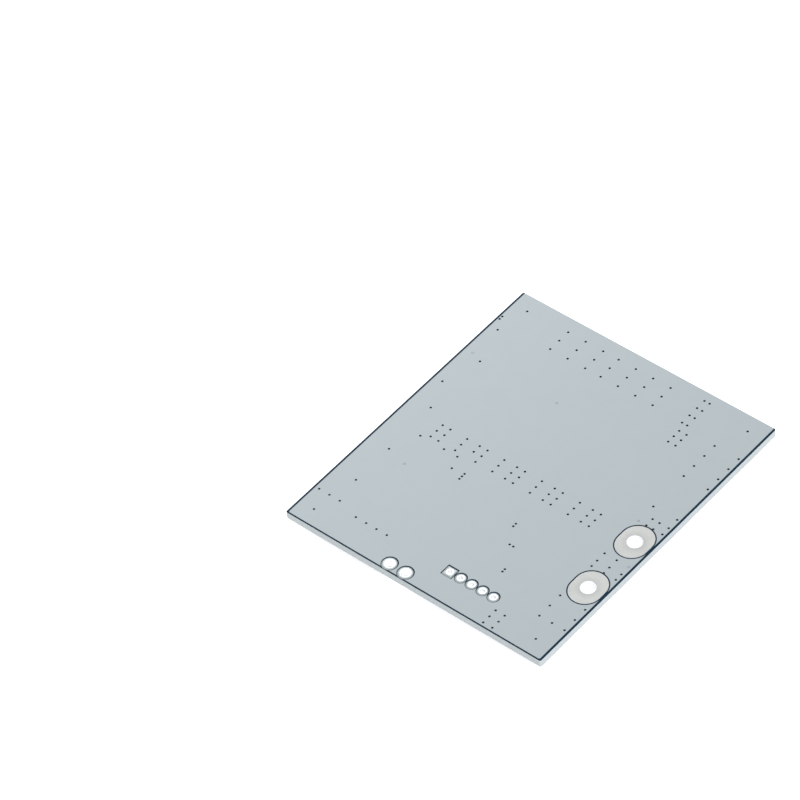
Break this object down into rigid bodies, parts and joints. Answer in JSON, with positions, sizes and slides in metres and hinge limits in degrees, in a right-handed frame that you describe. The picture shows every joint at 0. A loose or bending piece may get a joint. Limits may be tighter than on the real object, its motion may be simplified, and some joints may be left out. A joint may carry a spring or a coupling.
{
  "type": "battery protection board",
  "caption": "Flat rectangular circuit board, pale coated back with vias, lug pads and wire holes, surface-mounted power transistors and chips underneath.",
  "frame": {"origin": "middle of the board's outline, on the plane that the tallest packages of the component side rest on", "axes": "+X to the lug edge, +Y away from the wire edge, +Z out of the plain back face"},
  "size_m": [0.06, 0.069, 0.004],
  "materials": {
    "laminate": "woven glass-epoxy, routed edge",
    "solder_mask": "glossy dark blue solder mask",
    "coat": "pale blue-grey printed coat, satin",
    "copper": "plated copper",
    "tin": "hot-air levelled tin, satin",
    "solder": "bright solder",
    "epoxy": "black moulded epoxy",
    "leads": "matt tin plating",
    "sense_body": "dark resistor coating",
    "alumina": "white alumina",
    "glaze": "black glaze",
    "dielectric": "fired brown ceramic"
  },
  "bodies": {
    "root": {"laminate": "laminate", "back_mask": "solder_mask", "back_coat": "coat", "front_copper": "copper", "front_mask": "solder_mask", "via_barrels": "copper", "lug_terminal_negative": "tin", "lug_terminal_output": "tin", "balance_terminal_1": "tin", "balance_terminal_2": "tin", "balance_terminal_3": "tin", "balance_terminal_4": "tin", "balance_terminal_5": "tin", "cable_terminal_1": "tin", "cable_terminal_2": "tin", "component_lands": "tin", "solder_bar_negative": "solder", "solder_bar_output": "solder", "solder_joints": "solder", "discharge_fet_body_1": "epoxy", "discharge_fet_body_2": "epoxy", "discharge_fet_body_3": "epoxy", "discharge_fet_body_4": "epoxy", "discharge_fet_body_5": "epoxy", "discharge_fet_frame_1": "leads", "discharge_fet_frame_2": "leads", "discharge_fet_frame_3": "leads", "discharge_fet_frame_4": "leads", "discharge_fet_frame_5": "leads", "charge_fet_body_1": "epoxy", "charge_fet_body_2": "epoxy", "charge_fet_body_3": "epoxy", "charge_fet_body_4": "epoxy", "charge_fet_frame_1": "leads", "charge_fet_frame_2": "leads", "charge_fet_frame_3": "leads", "charge_fet_frame_4": "leads", "sense_resistor_bodies": "sense_body", "sense_resistor_ends": "leads", "monitor_chip_body": "epoxy", "monitor_chip_leads": "leads", "balance_chip_bodies": "epoxy", "balance_chip_leads": "leads", "driver_bodies": "epoxy", "driver_leads": "leads", "input_diode_body": "epoxy", "output_diode_body": "epoxy", "diode_leads": "leads", "bleed_resistor_bodies": "alumina", "chip_resistor_bodies": "alumina", "resistor_glazes": "glaze", "chip_capacitor_bodies": "dielectric", "chip_ends": "leads"}
  },
  "joints": []
}
